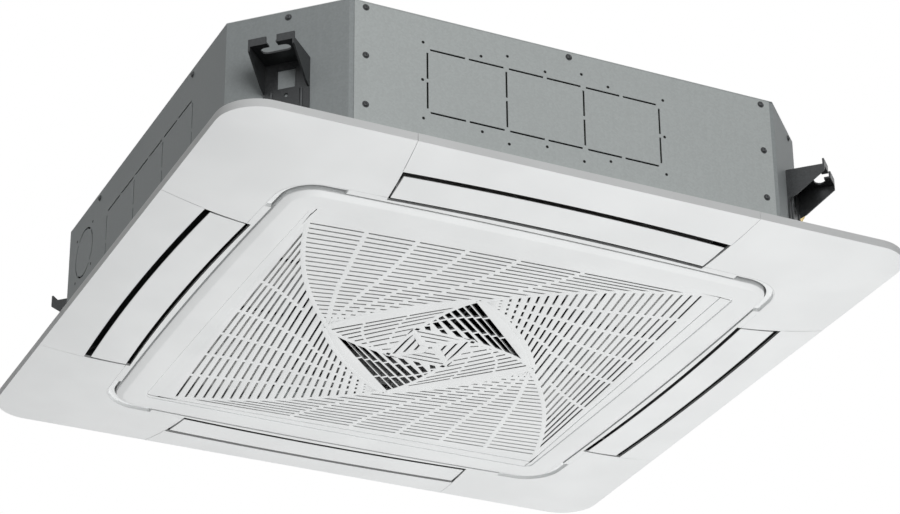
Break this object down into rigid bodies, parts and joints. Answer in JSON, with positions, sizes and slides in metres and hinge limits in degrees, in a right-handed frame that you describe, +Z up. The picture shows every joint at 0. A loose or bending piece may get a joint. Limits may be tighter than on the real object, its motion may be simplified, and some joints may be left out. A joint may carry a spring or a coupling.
{
  "type": "ceiling cassette air conditioner",
  "caption": "Square ceiling cassette air conditioner: hanging sheet steel casing, panel with a hinged swirl-slotted intake grille and an outlet with a swinging vane on each side.",
  "frame": {"origin": "middle of the unit, on the plane of its lowest face, the intake grille's border", "axes": "+Z up; -Y is the front side of the unit; +X the side where the refrigerant and drain pipes leave"},
  "size_m": [0.95, 0.95, 0.236],
  "materials": {
    "white_plastic": "satin moulded plastic",
    "grey_plastic": "matt moulded plastic",
    "black_plastic": "matt black plastic",
    "galvanised_steel": "bare galvanised sheet",
    "zinc": "dark zinc-plated steel",
    "foam": "expanded polystyrene",
    "fins": "coated aluminium fins",
    "copper": "bare copper tube",
    "brass": "machined brass",
    "rubber": "matt black rubber foam",
    "board": "lacquered circuit board"
  },
  "bodies": {
    "unit": {"top_pan": "galvanised_steel", "side_plate_front": "galvanised_steel", "side_plate_rear": "galvanised_steel", "side_plate_left": "galvanised_steel", "side_plate_right": "galvanised_steel", "pipe_cover_plate": "galvanised_steel", "coil_end_plate_front": "galvanised_steel", "coil_end_plate_right": "galvanised_steel", "coil_closing_plate": "galvanised_steel", "control_box": "galvanised_steel", "control_box_cover": "galvanised_steel", "insulation_liner": "rubber", "drain_pan": "foam", "heat_exchanger": "fins", "gas_pipe": "copper", "liquid_pipe": "copper", "flare_nut_gas": "brass", "flare_nut_liquid": "brass", "drain_plug": "rubber", "drain_pump": "grey_plastic", "drain_outlet": "grey_plastic", "float_switch": "black_plastic", "fan_motor": "zinc", "bell_mouth": "grey_plastic", "circuit_board": "board", "air_seal": "rubber", "panel_frame": "white_plastic", "corner_cover_front_right": "white_plastic", "panel_bolt_front_right": "zinc", "hanger_bracket_front_right": "zinc", "corner_cover_rear_right": "white_plastic", "panel_bolt_rear_right": "zinc", "hanger_bracket_rear_right": "zinc", "corner_cover_rear_left": "white_plastic", "panel_bolt_rear_left": "zinc", "hanger_bracket_rear_left": "zinc", "corner_cover_front_left": "white_plastic", "panel_bolt_front_left": "zinc", "hanger_bracket_front_left": "zinc", "vane_motor_front": "grey_plastic", "vane_motor_right": "grey_plastic", "vane_motor_rear": "grey_plastic", "vane_motor_left": "grey_plastic"},
    "fan": {"turbofan": "black_plastic", "fan_nut": "zinc", "motor_shaft": "zinc"},
    "grille": {"intake_grille": "white_plastic", "air_filter": "grey_plastic"},
    "catch_front": {"grille_catch_front": "grey_plastic"},
    "catch_rear": {"grille_catch_rear": "grey_plastic"},
    "float": {"float_ring": "grey_plastic"},
    "vane_front": {"vane_front": "white_plastic"},
    "vane_right": {"vane_right": "white_plastic"},
    "vane_rear": {"vane_rear": "white_plastic"},
    "vane_left": {"vane_left": "white_plastic"}
  },
  "joints": [
    {"name": "fan_spin", "type": "hinge", "parent": "unit", "child": "fan", "pos_m": [0, 0, 0.16], "axis": [0, 0, 1], "continuous": true},
    {"name": "vane_hinge_front", "type": "hinge", "parent": "unit", "child": "vane_front", "pos_m": [0, -0.381, 0.0155], "axis": [1, 0, 0], "range_deg": [0, 60]},
    {"name": "vane_hinge_right", "type": "hinge", "parent": "unit", "child": "vane_right", "pos_m": [0.381, 0, 0.0155], "axis": [0, 1, 0], "range_deg": [0, 60]},
    {"name": "vane_hinge_rear", "type": "hinge", "parent": "unit", "child": "vane_rear", "pos_m": [0, 0.381, 0.0155], "axis": [-1, 0, 0], "range_deg": [0, 60]},
    {"name": "vane_hinge_left", "type": "hinge", "parent": "unit", "child": "vane_left", "pos_m": [-0.381, 0, 0.0155], "axis": [0, -1, 0], "range_deg": [0, 60]},
    {"name": "grille_hinge", "type": "hinge", "parent": "unit", "child": "grille", "pos_m": [-0.343, 0, 0.0054], "axis": [0, 1, 0], "range_deg": [0, 90]},
    {"name": "catch_slide_front", "type": "slide", "parent": "grille", "child": "catch_front", "axis": [1, 0, 0], "range_m": [0, 0.007]},
    {"name": "catch_slide_rear", "type": "slide", "parent": "grille", "child": "catch_rear", "axis": [1, 0, 0], "range_m": [0, 0.007]},
    {"name": "float_slide", "type": "slide", "parent": "unit", "child": "float", "axis": [0, 0, 1], "range_m": [0, 0.012]}
  ]
}
